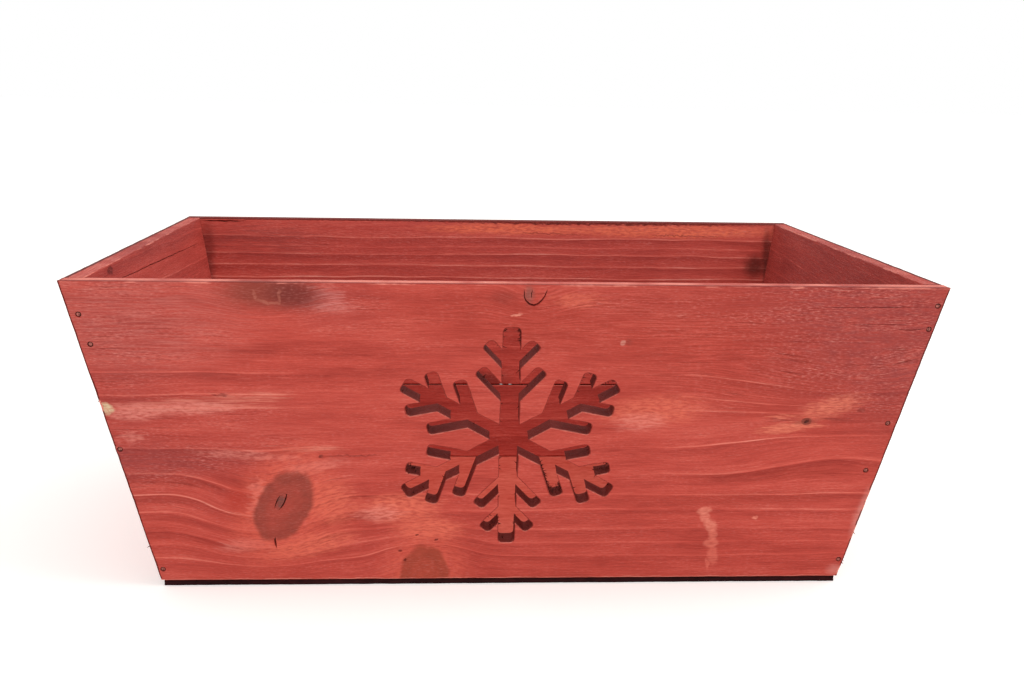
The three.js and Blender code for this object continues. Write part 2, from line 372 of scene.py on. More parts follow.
def nail_hole(board, centre):
    """The wall of a nail's hole: a crushed lip, a recess for the head and a bore for the shank to the far
    face."""
    turn = -np.arange(NAIL_HOLE_SIDES) * 2 * np.pi / NAIL_HOLE_SIDES
    round_way = np.column_stack([np.cos(turn), np.sin(turn)])
    steps = [(NAIL_RECESS + NAIL_LIP, 0.0), (NAIL_RECESS + 0.12, 0.12), (NAIL_RECESS, 0.35),
             (NAIL_RECESS, NAIL_RECESS_DEPTH), (NAIL_BORE, NAIL_RECESS_DEPTH), (NAIL_BORE, board.thickness)]
    lip = rng.uniform(0.92, 1.08, NAIL_HOLE_SIDES)
    places = []
    for k, (radius, depth) in enumerate(steps):
        ragged = radius * (lip if k == 0 else np.ones(NAIL_HOLE_SIDES))
        ring = centre + ragged[:, None] * round_way
        places.append(np.column_stack([ring, np.full(NAIL_HOLE_SIDES, depth)]))
    return np.array(places)


def plank(name, board, outer_chips=(), inner_chips=(), outer_splits=(), inner_splits=(), softness=0.4,
          rim=Rim(), rubbed=1.0, meets=()):
    """A board with rounded, chipped arrises, its cut-outs and nail holes, standing for its CAD node. Where it
    meets another board: the side, how far it bulges, and places along it that stay open."""
    shell = Shell()
    thickness = board.thickness
    outer, inner, sides, runs = stepped(board.corners, board.inner_corners, ARRIS_STEP)
    on_rim, end_grain = sides == RIM, (sides == LEFT) | (sides == RIGHT)
    holes = (board.nail_places, (NAIL_RECESS + NAIL_LIP) * NAIL_CLEARANCE)
    near, bare = arris_wear(sides, runs, outer_chips, softness, rubbed, 1 - rim.face_dark)
    far, far_bare = arris_wear(sides, runs, inner_chips, softness, rubbed)
    # A rim's top and inner arris are paler: rubbed wear, together with a painted highlight where light falls on
    # them
    far_bare = np.maximum(far_bare, on_rim * rim.inner_bare * (0.5 + 0.5 * far_bare))
    swell = np.zeros(len(sides))
    for side, bulge, gaps in meets:
        swell[sides == side] = bulge
        for gap in gaps:
            swell[(sides == side) & (np.abs(outer[:, 0] - gap) < ARRIS_STEP / 2)] = 0
    worn_and_lit_top = ripple(len(sides) * ARRIS_STEP, 9, 0.4, 1.4)(np.arange(len(sides)) * ARRIS_STEP)
    line = np.select([end_grain, on_rim], [END_LINE, rim.face_line], FACE_LINE)
    share = kept_open(outer, near + line, WEAR_EDGE, *holes) / (near + line)
    places, bareness = cut_wall(
        outer, inner, thickness, (share * near, bare), (kept_open(inner, far, WEAR_EDGE, *holes), far_bare),
        WEAR_EDGE, worn_and_lit_top * rim.top_bare * on_rim, swell,
        (share * line, np.where(on_rim, rim.cut_line, CUT_LINE)))
    bareness[OUTER_CUT_RINGS] *= np.where(on_rim, 1 - rim.cut_dark, 1.0)
    # Darkness round the outline: drunk stain, together with painted shade along end grain and on the darker rims
    face, cut, top, back = (np.select([end_grain, on_rim], [ends, mine], foot)
                            for ends, mine, foot in zip(END_GRAIN_DARK, rim, FOOT_DARK))
    rings = [shell.take_wall(places, bareness, [
        0.0, face, face, cut, cut, cut, top, top, top, top, back, back, back, 0.0])]
    for loop in board.cut_outs:
        line, _, numbers, along = stepped(loop, loop, FLAKE_STEP)
        # Walls of the snowflake that face up get paler and lose their dark arris: a painted highlight where
        # light falls from above. The rest of each wall is dark: stain drunk by the cut, together with painted
        # shade
        lit_ledge = np.clip(-left_hand(line)[:, 1], 0, 1)
        wear = []
        for _ in range(2):
            radius, bare = arris_wear(numbers, along, (), softness * 0.8)
            wear.append((kept_open(line, radius, FLAKE_WEAR_EDGE + FACE_LINE), 0.3 * bare + 0.5 * lit_ledge))
        wall = cut_wall(line, line, thickness, *wear, FLAKE_WEAR_EDGE)
        dark = [0.0, *[0.6 * (1 - lit_ledge)] * 3, *[0.85] * 7, 0.5, 0.4, 0.0]
        rings.append(shell.take_wall(*wall, dark))
    for centre in board.nail_places:
        places = nail_hole(board, centre)
        # Darker towards the bottom of each nail's recess: painted shade in the hollow round the head
        rings.append(shell.take_wall(places, np.zeros(places.shape[:2]), [0.0, 0.1, 0.4, 0.7, 1.0, 0.0]))
    near_rings, far_rings = zip(*rings)
    shell.take_face(near_rings, 0.0, 1, outer_splits)
    shell.take_face(far_rings, thickness, -1, inner_splits)
    piece = shell.finish(name, board)
    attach(piece, "root")
    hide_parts(board.node)
    return piece


def linear(colour):
    """An sRGB hex colour as the linear RGBA that a shader takes."""
    parts = [int(colour[i:i + 2], 16) / 255 for i in (1, 3, 5)]
    return (*[c / 12.92 if c <= 0.04045 else ((c + 0.055) / 1.055) ** 2.4 for c in parts], 1.0)


def add(tree, kind, inputs=(), stops=(), **settings):
    """Adds a node with its settings, a shader node by its short name. Inputs come in order, or under their
    numbers or names, and each takes a value, another node's first output or a given output. Stops are a ramp's
    rising positions, each with a hex colour or a grey level."""
    node = tree.nodes.new(kind if "Node" in kind else "ShaderNode" + kind)
    for key, value in settings.items():
        setattr(node, key, value)
    for key, value in inputs.items() if isinstance(inputs, dict) else enumerate(inputs):
        if isinstance(value, bpy.types.Node):
            value = value.outputs[0]
        if isinstance(value, bpy.types.NodeSocket):
            tree.links.new(value, node.inputs[key])
        else:
            node.inputs[key].default_value = value
    for k, (position, colour) in enumerate(stops):
        elements = node.color_ramp.elements
        element = elements[k] if k < 2 else elements.new(position)
        element.position = position
        element.color = linear(colour) if isinstance(colour, str) else (colour, colour, colour, 1)
    return node


def new_material(name):
    """A material with an empty node tree, and the tree."""
    material = bpy.data.materials.new(name)
    material.use_nodes = True
    material.node_tree.nodes.clear()
    return material, material.node_tree


def per(*sizes):
    """Pattern sizes in mm as the scale of a Mapping node."""
    return tuple(1 / size for size in sizes)


def distance_from(tree, where, centre, half, turn=0.0, depth=6.0):
    """How far each point of a board lies from a centre on it, counted in half sizes. A centre without a height
    is on the outer face."""
    near = add(tree, "Mapping", {
        "Vector": where, "Location": (*centre, 0)[:3], "Rotation": (0, 0, math.radians(turn)),
        "Scale": (*half, depth)}, vector_type="TEXTURE")
    return add(tree, "VectorMath", [near], operation="LENGTH").outputs["Value"]


def laid_on(tree, colour, where, places, low, high, cover=None):
    """A colour with patches laid on it, each with its centre, half sizes, turn, colour and strength. They fade
    out from low to high, in half sizes."""
    for centre, half, turn, paint, amount in places:
        far = distance_from(tree, where, centre, half, turn)
        share = add(tree, "MapRange", [far, low, high, amount, 0.0], interpolation_type="SMOOTHSTEP")
        if cover:
            share = add(tree, "Math", [share, cover], operation="MULTIPLY")
        colour = add(tree, "Mix", {0: share, 6: colour, 7: linear(paint)}, data_type="RGBA").outputs[2]
    return colour


# Red water-based stain on planed spruce. The soft early wood drinks the stain and goes deep red, the hard late
# wood stays paler, so each growth ring shows as a thin pale line with a darker band under it. Fibres raised by
# the wet stain stand up in a fine crackle, with painted highlights as pale flecks where they would catch the
# light, knots stay brown, and a dull mauve stands for a dried stain film together with painted sheen and shade.
STAIN = [(0.0, "#6f211f"), (0.3, "#9e3931"), (0.5, "#bf4c41"), (0.65, "#d05c4f"), (0.82, "#e27b6b"),
         (1.0, "#f2a898")]
# Pale for wood rubbed bare and for painted highlights; deep maroon for stain drunk by cut wood and for painted
# shade
BARE_SPRUCE_AND_HIGHLIGHT = "#e98c7c"
SAWN_STAIN_AND_SHADE = "#5c1814"
# A dull mauve: dried stain film, painted sheen, and painted shade where laid on a face turned from the light
DULL_MAUVE = "#94413f"
HALO_STAIN = "#de6652"
RING_SPAN = 170.0  # mm of board that the ramps of growth rings cover
RING_START = 2.5  # mm by which the wandering course of the rings lies too high on the whole
RING_SLOPE = 0.5  # how far the rings climb for each mm through the board
RING_LINE = (0.55, 0.5)  # mm over which a ring's pale line fades, below and above it
RING_BAND = (6.5, 0.7)  # mm below a ring between which its dark band lies


def stained_spruce(name, board, rings, bends=(), knots=(), streaks=(), flames=(), smudges=(), marks=(), dull=(),
                   clear_ends=None, shift=(0, 0, 0), lean=0.0, tone=0.0, crackled=1.0):
    """The stained spruce of one board, as seen in the board's own frame.
    A ring is its height, how pale its line is and how dark the band under it is, and rings lean along the
    board. A bend carries them off their course: centre, reach, shift in mm and pinch. A knot is centre, half
    sizes, turn, colours of rim and heart, halo and how clear its own rings are. Streaks lie in threads along
    the grain, flames in flecks, smudges are soft and marks are sharp: centre, half sizes, turn, colour and
    strength. A dull place is centre, half sizes and strength. Clear ends are the distances along the board
    where its rings fade out on the left and come back on the right, tone is how much paler the whole board is,
    and crackled is how much its fibres stand up."""
    material, tree = new_material(name)
    where = board.where(tree)
    along, up, height = add(tree, "SeparateXYZ", [where]).outputs
    moved = add(tree, "VectorMath", [where, shift], operation="ADD")

    # The course of the growth rings
    wander = add(tree, "TexNoise", {
        "Vector": add(tree, "Mapping", {"Vector": moved, "Scale": per(85, 22, 22)}),
        "Scale": 1.0, "Detail": 2.0})
    course = add(tree, "Math", [wander, 5.0, up], operation="MULTIPLY_ADD")
    course = add(tree, "Math", [height, RING_SLOPE, course], operation="MULTIPLY_ADD")
    course = add(tree, "Math", [along, -lean, course], operation="MULTIPLY_ADD")
    for centre, reach, push, pinch in bends:
        far = distance_from(tree, where, centre, reach, depth=100.0)
        share = add(tree, "MapRange", [far, 0.0, 1.9, 1.0, 0.0], interpolation_type="SMOOTHERSTEP")
        course = add(tree, "Math", [share, push, course], operation="MULTIPLY_ADD")
        if pinch:
            off = add(tree, "Math", [up, -centre[1]], operation="ADD")
            amount = add(tree, "Math", [share, pinch], operation="MULTIPLY")
            course = add(tree, "Math", [off, amount, course], operation="MULTIPLY_ADD")
    reading = add(tree, "MapRange", [course, RING_START, RING_START + RING_SPAN, 0.0, 1.0])
    pale_stops, dark_stops, below = [], [], 0.0
    for line, pale, dark in sorted(rings):
        pale_stops += [(line - RING_LINE[0], 0.0), (line, pale), (line + RING_LINE[1], 0.0)]
        dark_stops += [(max(line - RING_BAND[0], below), 0.0), (line - RING_BAND[1], dark), (line, 0.0)]
        below = line
    ramps = (add(tree, "ValToRGB", [reading], stops=[(at / RING_SPAN, level) for at, level in stops])
             for stops in (pale_stops, dark_stops))
    pale, dark = [add(tree, "RGBToBW", [ramp]) for ramp in ramps]

    # Grain that flows with the rings, in patterns sized in mm along the board, up it and into it. Real fibres
    # are some hundredths of a millimetre thick, too fine to show, so fibre, hair and crackle are drawn about ten
    # times as coarse.
    grain = add(tree, "CombineXYZ", [along, course, height])
    flow = add(tree, "VectorMath", [grain, shift], operation="ADD")
    band, streak, fibre, crackle, hair, cloud, patchy, ragged, thread, fleck, blot, lump = (
        add(tree, "TexNoise", {
            "Vector": add(tree, "Mapping", {"Vector": source, "Scale": per(*sizes)}),
            "Scale": 1.0, "Detail": detail}) for source, sizes, detail in (
                (flow, (150, 6.5, 6.5), 2.0), (flow, (48, 1.3, 1.3), 3.0), (flow, (9, 0.42, 0.42), 2.0),
                (moved, (2.2, 0.55, 0.55), 2.0), (flow, (24, 0.5, 0.5), 1.0), (moved, (70, 26, 26), 3.0),
                (flow, (38, 7, 7), 3.0), (flow, (8, 1.3, 1.3), 3.0), (flow, (16, 0.7, 0.7), 3.0),
                (flow, (3.6, 1.1, 1.1), 3.0), (moved, (3.2, 3.2, 3.2), 5.0), (moved, (9, 9, 9), 4.0)))
    strength = add(tree, "MapRange", [cloud, 0.3, 0.7, 0.35, 1.2])
    if clear_ends:
        left, right = clear_ends
        ends = [add(tree, "MapRange", [source, low, high, 0.1, most]) for
                source, low, high, most in ((along, left + 35, left, 1.0), (along, right, right + 40, 0.85),
                                            (up, 58, 42, 0.85))]
        clear = add(tree, "Math", [ends[0], ends[1]], operation="MAXIMUM")
        clear = add(tree, "Math", [clear, ends[2]], operation="MAXIMUM")
        strength = add(tree, "Math", [strength, clear], operation="MULTIPLY")
    shade = add(tree, "Math", [pale, dark], operation="SUBTRACT")
    shade = add(tree, "Math", [shade, strength, 0.5 + tone], operation="MULTIPLY_ADD")
    for texture, weight in ((band, 0.28), (streak, 0.24), (fibre, 0.34), (cloud, 0.4), (patchy, 0.3)):
        part = add(tree, "Math", [texture, weight, -weight / 2], operation="MULTIPLY_ADD")
        shade = add(tree, "Math", [shade, part], operation="ADD")
    colour = add(tree, "ValToRGB", [shade], stops=STAIN).outputs[0]

    # Where a dull mauve is laid on: a dried stain film, together with painted sheen near the front's upper
    # corners and painted shade on the right end's inner face
    dulled = add(tree, "Math", [cloud, 0.5, -0.2], operation="MULTIPLY_ADD")
    for centre, half, amount in dull:
        far = distance_from(tree, where, centre, half, depth=8.0)
        share = add(tree, "MapRange", [far, 0.2, 1.5, amount, 0.0], interpolation_type="SMOOTHSTEP")
        dulled = add(tree, "Math", [dulled, share], operation="ADD", use_clamp=True)
    grip = add(tree, "MapRange", [ragged, 0.3, 0.7, 0.4, 0.95])
    share = add(tree, "Math", [dulled, grip], operation="MULTIPLY")
    colour = add(tree, "Mix", {0: share, 6: colour, 7: linear(DULL_MAUVE)}, data_type="RGBA").outputs[2]

    # Places shifted so that outlines come out uneven: drawn out along the grain, or torn
    shifted = []
    for texture, reach in ((ragged, (24, 4, 0)), (blot, (3.4, 3.4, 0))):
        off = add(tree, "VectorMath", [texture.outputs["Color"], (0.5, 0.5, 0.5)], operation="SUBTRACT")
        shifted.append(add(tree, "VectorMath", [off, reach, where], operation="MULTIPLY_ADD"))
    drawn, torn = shifted

    # Streaks where the stain took differently, and flames of strained grain
    threads = add(tree, "MapRange", [thread, 0.42, 0.62, 0.12, 1.0])
    flecks = add(tree, "MapRange", [fleck, 0.38, 0.6, 0.3, 1.0])
    colour = laid_on(tree, colour, drawn, streaks, 0.3, 1.15, threads)
    colour = laid_on(tree, colour, drawn, flames, 0.35, 1.1, flecks)

    # Knots, each mottled, with faint rings of its own and a pale halo of strained grain
    for centre, half, turn, rim, heart, halo, clear in knots:
        far = distance_from(tree, where, centre, half, turn, depth=1000.0)
        far = add(tree, "Math", [lump, 0.3, far], operation="MULTIPLY_ADD")
        glow = add(tree, "MapRange", [far, 1.1, 2.4, halo, 0.0], interpolation_type="SMOOTHSTEP")
        glow = add(tree, "Math", [glow, flecks], operation="MULTIPLY")
        colour = add(tree, "Mix", {0: glow, 6: colour, 7: linear(HALO_STAIN)}, data_type="RGBA").outputs[2]
        turns = add(tree, "Math", [far, 21.0], operation="MULTIPLY")
        wave = add(tree, "Math", [turns], operation="SINE")
        inner = add(tree, "MapRange", [far, 0.5, 1.12, 0.75, 0.05])
        inner = add(tree, "Math", [wave, clear, inner], operation="MULTIPLY_ADD")
        mottle = add(tree, "Math", [lump, 2.2, -1.1], operation="MULTIPLY_ADD")
        inner = add(tree, "Math", [inner, mottle], operation="ADD", use_clamp=True)
        body = add(tree, "Mix", {0: inner, 6: linear(rim), 7: linear(heart)}, data_type="RGBA").outputs[2]
        share = add(tree, "MapRange", [far, 1.02, 1.22, 0.8, 0.0], interpolation_type="SMOOTHSTEP")
        colour = add(tree, "Mix", {0: share, 6: colour, 7: body}, data_type="RGBA").outputs[2]

    # Soft smudges, and marks with sharp, uneven outlines
    colour = laid_on(tree, colour, torn, smudges, 0.2, 1.15)
    worn = add(tree, "MapRange", [fleck, 0.34, 0.56, 0.45, 1.0])
    colour = laid_on(tree, colour, torn, marks, 0.5, 1.1, worn)

    # Fibres raised in a fine crackle, most where the dull mauve lies, with hairlines that hold the stain. The
    # pale flecks and threads are painted highlights where raised fibres would catch the light
    lively = add(tree, "MapRange", [dulled, 0.0, 0.7, 0.3, crackled])
    clumps = add(tree, "MapRange", [patchy, 0.35, 0.65, 0.3, 1.3])
    lively = add(tree, "Math", [lively, clumps], operation="MULTIPLY")
    for texture, low, high, paint, amount in ((crackle, 0.52, 0.74, "#d8877e", 0.55),
                                              (crackle, 0.46, 0.26, "#7c2a25", 0.6),
                                              (hair, 0.38, 0.26, "#70231e", 0.8),
                                              (fibre, 0.64, 0.78, "#f0ab9b", 0.42)):
        share = add(tree, "MapRange", [texture, low, high, 0.0, amount])
        share = add(tree, "Math", [share, lively], operation="MULTIPLY")
        colour = add(tree, "Mix", {0: share, 6: colour, 7: linear(paint)}, data_type="RGBA").outputs[2]

    # Arrises rubbed bare, and saw cuts whose open end grain drank more stain. The same layers carry painted
    # highlights on lit rims and upward-facing cut walls, and painted shade on dark rims, end grain, in the seam,
    # in nail recesses and on the snowflake's walls
    bare, sawn = (add(tree, "Attribute", attribute_name=layer).outputs["Fac"]
                  for layer in ("bare", "sawn"))
    rubbed = add(tree, "Math", [bare, fibre], operation="MULTIPLY")
    rubbed = add(tree, "MapRange", [rubbed, 0.12, 0.5, 0.0, 0.9])
    soaked_and_shaded = add(tree, "Math", [sawn, 0.9], operation="MULTIPLY")
    for share, paint in ((soaked_and_shaded, SAWN_STAIN_AND_SHADE), (rubbed, BARE_SPRUCE_AND_HIGHLIGHT)):
        colour = add(tree, "Mix", {0: share, 6: colour, 7: linear(paint)}, data_type="RGBA").outputs[2]

    relief = add(tree, "Math", [fibre, crackle], operation="ADD")
    bump = add(tree, "Bump", {"Height": relief, "Distance": 0.3 * MM, "Strength": 0.6})
    rough = add(tree, "MapRange", [fibre, 0.3, 0.7, 0.7, 0.55])
    shader = add(tree, "BsdfPrincipled", {
        "Base Color": colour, "Roughness": rough, "Normal": bump, "IOR": 1.45, "Specular IOR Level": 0.1})
    add(tree, "OutputMaterial", [shader])
    return material


def spruce_board(name, board, shape, looks):
    """A plank of stained spruce, with what plank and stained_spruce take besides its name and board."""
    piece = plank(name, board, **shape)
    coat = stained_spruce("stained_spruce_" + name.split("_board")[0], board, **looks)
    piece.data.materials.append(coat)


UP = (0, 0, 1)
front = Board("front_board", (0, -1, 0), UP)
back_lower = Board("back_lower_board", (0, 1, 0), UP)
back_upper = Board("back_upper_board", (0, 1, 0), UP)
left_end = Board("left_end_board", (-1, 0, 0), UP)
right_end = Board("right_end_board", (1, 0, 0), UP)
bottom = Board("bottom_panel", (0, 0, -1), (0, 1, 0))

# What shows on the front, in mm along the board from its middle and up it from its foot
FRONT_RINGS = [(13.4, 0.32, 0.1), (21, 0.32, 0.1), (28.9, 0.4, 0.14), (39.6, 0.42, 0.16), (48.5, 0.38, 0.16),
               (60, 0.7, 0.24), (74.4, 0.44, 0.2), (95, 0.35, 0.08), (101.5, 0.38, 0.1), (113, 0.46, 0.12)]
FRONT_BENDS = [
    ((-118, 35), (27, 27), 12, 0),
    ((160, 90), (52, 24), 0, 0.75),
    ((-40, 14), (22, 15), -8, 0),
    ((-110, 147), (22, 13), 5, 0),
    ((10, 148), (15, 10), 5, 0),
]
FRONT_KNOTS = [
    ((-107.6, 42.0), (12.8, 21.4), -26, "#803a31", "#a3443a", 0.65, 0.08),
    ((-40, 0), (12.5, 20), 0, "#94402f", "#ab4938", 0.6, 0.16),
    ((141.9, 88.5), (2.6, 2.0), 0, "#6d342b", "#2e0f0d", 0.3, 0.0),
]
DARK, PALE, FLAME, PINK = "#7a312b", "#e9937f", "#e8775f", "#e2887b"
FRONT_STREAKS_AND_SHEEN = [
    ((40, 140), (130, 24), 0, "#a0392e", 0.75),
    ((105, 112), (75, 28), 0, "#9c382e", 0.7),
    ((-145, 96.5), (42, 4.6), 2, PALE, 0.45),
    ((-118, 101), (20, 3.0), 3, PALE, 0.6),
    ((-92, 73.5), (15, 2.0), 3, PALE, 0.6),
    ((128, 89.2), (11, 1.3), 2, DARK, 0.8),
    ((156, 89.6), (13, 1.2), -3, DARK, 0.8),
    ((-160, 55.2), (26, 2.2), -3, "#8c332b", 0.7),
    ((-160, 45), (24, 2.2), -4, "#95382f", 0.6),
    ((-150, 66), (34, 4), 0, "#8f3b39", 0.6),
    ((125, 46), (60, 6), 2, "#9e3a2e", 0.5),
    ((130, 59), (55, 4), 2, "#9e3a2e", 0.45),
    # A pale pink wash in the upper left corner and pink streaks right of the top knot: painted sheen
    ((-165, 138), (60, 32), 0, "#cf7d74", 0.35),
    ((-84, 151), (9, 5.6), 0, "#d88c86", 0.65),
    ((-82, 146), (15, 4.2), -4, "#d4837c", 0.65),
]
FRONT_FLAMES = [
    ((-172, 93), (17, 6.0), 2, PINK, 0.75),
    ((-146, 95), (24, 4.4), 2, PINK, 0.7),
    ((-176, 80), (6, 4.0), 2, PINK, 0.55),
    ((-122, 70), (30, 3.0), -4, PINK, 0.5),
    ((68, 94), (30, 10), 3, FLAME, 0.6),
    ((62, 88), (16, 6), 3, PINK, 0.5),
    ((-52, 41), (24, 10), 2, FLAME, 0.8),
    ((-62, 38), (14, 6), 2, PINK, 0.6),
    ((-38, 29), (20, 8), 0, FLAME, 0.8),
    ((-96, 20), (28, 8), 14, FLAME, 0.7),
    ((-84, 44), (14, 16), 0, FLAME, 0.65),
    ((-92, 64), (18, 4), 10, PINK, 0.6),
    ((-120.5, 47), (3, 15), -12, PINK, 0.7),
    ((-128, 20), (16, 5), 6, PINK, 0.5),
    ((153, 96.4), (19, 6.4), 17, "#e27d65", 0.75),
    ((131, 84.8), (15, 3.2), 8, "#e27d65", 0.9),
    ((141, 86.4), (10, 2.0), -2, "#e27d65", 0.8),
    ((130, 90.8), (9, 1.4), 4, "#e27d65", 0.7),
    ((28.7, 149.6), (14, 5), 0, FLAME, 0.5),
]
FRONT_SMUDGES = [
    ((-112, 153), (24, 11), 0, "#74392f", 0.7),
    ((-97, 151.5), (16, 10), -8, "#6d2f2b", 0.75),
    ((-129, 46), (8, 9), 0, "#b23c31", 0.8),
    ((-3.8, 151), (9, 4), 0, DARK, 0.35),
    ((7.0, 152.5), (3.2, 6.0), 0, "#8c5148", 0.8),
    ((53.8, 129.2), (2.0, 2.4), 0, "#8a3a32", 0.6),
    ((141.8, 88.4), (8, 2.4), 0, "#8a4236", 0.6),
    ((177, 38), (4.5, 18), -11, "#d88e84", 0.6),
    ((168, 4), (6, 4.5), 0, "#d88e84", 0.45),
]
FRONT_MARKS = [
    ((-114.8, 151), (0.9, 3.4), 12, "#bb6f5e", 0.4),
    ((-111.5, 148.0), (3.4, 1.0), -25, "#bb6f5e", 0.45),
    ((-107.0, 147), (3.4, 0.9), 4, "#bb6f5e", 0.5),
    ((-104.0, 150.5), (0.9, 3.8), -5, "#bb6f5e", 0.4),
    ((-108.9, 44.6), (1.9, 4.9), -24, "#714640", 0.85),
    ((142.1, 88.5), (1.3, 1.0), 0, "#2e0f0d", 0.9),
    ((167.6, 94.4), (2.6, 1.2), 0, DARK, 0.7),
    ((1.8, 142), (3.2, 0.8), 0, PALE, 0.8),
    ((51.2, 128.8), (1.6, 1.3), 0, "#c98476", 0.8),
    ((-88.5, 69.6), (1.3, 0.9), 0, "#4a1714", 1.0),
    ((-73, 69.8), (15, 0.6), 1, DARK, 0.6),
    ((-133.5, 101.8), (4.5, 0.7), -4, DARK, 0.7),
    ((-49.8, 10.9), (0.9, 0.8), 0, "#6b241e", 1.0),
    ((-52.2, 16.7), (1.0, 0.7), 0, "#6b241e", 1.0),
    ((-34.5, 23.3), (1.2, 0.7), 20, "#6b241e", 1.0),
    ((-43.8, 26), (1.0, 0.7), 0, "#6b241e", 1.0),
    ((97.4, 39.2), (4.4, 2.4), 14, "#e88a76", 0.7),
    ((98.0, 35.4), (3.0, 3.6), 20, "#e88a76", 0.65),
    ((101.2, 31.0), (3.4, 4.6), 30, "#e88a76", 0.7),
    ((103.0, 26), (2.8, 5.0), 4, "#e4806d", 0.55),
    ((102.4, 20.2), (4.6, 3.2), 0, "#e4806d", 0.5),
    ((104.2, 13), (3.2, 7.0), 8, "#e27a68", 0.5),
    ((101.6, 8), (1.2, 4.2), 10, "#e27a68", 0.5),
    ((123.2, 35), (1.9, 1.4), -30, "#ea8e79", 0.7),
    ((-186, 94.5), (4.2, 3.4), 0, "#dcc7a0", 0.9),
    ((-187.4, 95.4), (1.2, 0.6), 20, "#a8794f", 0.8),
    ((-184.6, 93.2), (0.6, 1.3), 0, "#c98f72", 0.8),
]
# Where the dull mauve lies on the front; near the upper corners it is painted sheen
FRONT_DULL_AND_SHEEN = [
    ((-176, 140), (46, 32), 0.4),
    ((-150, 80), (60, 30), 0.2),
    ((172, 135), (56, 38), 0.95),
    ((-165, 67), (40, 9), 0.6),
    ((-180, 95), (20, 50), 0.25),
    ((-80, 148), (24, 14), 0.35),
    ((190, 105), (26, 34), 0.3),
    ((110, 150), (80, 14), 0.3),
]
FRONT_CHIPS = [
    (RIM, 71, 3, 0.6, 0.9), (RIM, 21, 12, 0.45, 0.8), (RIM, 110, 3, 0.5, 0.6), (LEFT, 62, 2.6, 1.0, 1.0),
    (RIGHT, 45, 6, 0.7, 0.8), (RIGHT, 27, 4, 0.8, 0.8), (RIGHT, 3, 3, 1.0, 0.9), (FOOT, 60, 9, 0.6, 0.9),
    (FOOT, 262, 20, 0.6, 0.8),
]
FRONT_SPLITS = [
    ([(4.5, 155.4), (4.9, 150.8), (6.6, 147.9), (9.4, 146.9), (12.2, 148.4), (14.4, 152), (15.4, 155.4)],
     1.0, 1.3),
    ([(8.0, 155.2), (8.2, 150)], 0.5, 0.6),
    ([(-107.6, 49.6), (-105.9, 48.8), (-106.4, 46.0), (-108.2, 42.6), (-110.4, 39.8)], 0.8, 1.4),
    ([(-108.6, 48.8), (-110.2, 46.2), (-111.7, 43.0), (-112.2, 40.4)], 0.8, 1.3),
    ([(-112.4, 25.0), (-112.8, 22.4), (-112.1, 18.0)], 1.3, 1.6),
    ([(192.4, 147.6), (170, 147.2), (140, 147.0)], 0.35, 0.6),
    ([(190.6, 136.3), (178, 136.1)], 0.5, 0.7),
    ([(184, 138.9), (156, 138.5)], 0.3, 0.4),
]
spruce_board(
    "front_board_planed", front,
    dict(rim=Rim(cut_dark=0.5, top_bare=0.8, inner_bare=1.0, face_line=0.3, cut_line=2.0),
         outer_chips=FRONT_CHIPS, inner_chips=[(RIM, 200, 320, 0.9, 0.95)], outer_splits=FRONT_SPLITS),
    dict(rings=FRONT_RINGS, bends=FRONT_BENDS, knots=FRONT_KNOTS, streaks=FRONT_STREAKS_AND_SHEEN, flames=FRONT_FLAMES,
         smudges=FRONT_SMUDGES, marks=FRONT_MARKS, dull=FRONT_DULL_AND_SHEEN, clear_ends=(-125, 60)))

# The back and the ends show their inner faces, so what lies there has a height of its own
BACK_INSIDE, END_INSIDE = -back_upper.thickness, -left_end.thickness
BACK_LOWER_RINGS = [(8, 0.2, 0.1), (19, 0.25, 0.1), (31, 0.2, 0.1), (42, 0.2, 0.1)]
BACK_UPPER_RINGS = [(8, 0.2, 0.1), (20, 0.2, 0.1), (34, 0.2, 0.1), (46, 0.22, 0.1), (56, 0.25, 0.12),
                    (66.4, 0.4, 0.2), (74.2, 0.45, 0.2), (81.8, 0.45, 0.25), (86.2, 0.25, 0.1),
                    (92.4, 0.45, 0.25)]
BACK_UPPER_STREAKS = [
    ((150, 95, BACK_INSIDE), (50, 14), 0, "#8f3f3b", 0.7),
]
BACK_UPPER_FLAMES = [
    ((-120, 103.0, BACK_INSIDE), (90, 5.6), 0, "#ea7657", 0.85),
    ((-10, 103.4, BACK_INSIDE), (66, 4.6), 0, "#ea7657", 0.85),
]
BACK_UPPER_SMUDGES_AND_SHADE = [
    # Dark smudges in the back's two inner corners: partly dirt and partly painted shade where the end boards
    # shade the back
    ((-178, 80, BACK_INSIDE), (9, 10), 20, "#54201b", 0.8),
    ((-186, 86, BACK_INSIDE), (4, 24), 0, "#54201b", 0.7),
    ((186, 84, BACK_INSIDE), (6, 30), 0, "#6a231f", 0.6),
    # Painted shade just above the seam, deep inside the box
    ((4, 3, BACK_INSIDE), (20, 7), 0, "#5c1c19", 0.7),
]
BACK_UPPER_MARKS = [
    ((-75, 107.4, BACK_INSIDE), (125, 0.9), 0, "#571916", 0.9),
    ((-130, 100.0, BACK_INSIDE), (30, 0.5), 0, "#7a2b22", 0.7),
    ((-40, 100.6, BACK_INSIDE), (24, 0.5), 1, "#7a2b22", 0.7),
]
SEAM_BULGE = (back_upper.foot - back_lower.foot - back_lower.corners[RIM][1]) / 2 + 0.01
SEAM_GLINTS = (-7.5, -13.5)  # along the back, where light comes through the seam
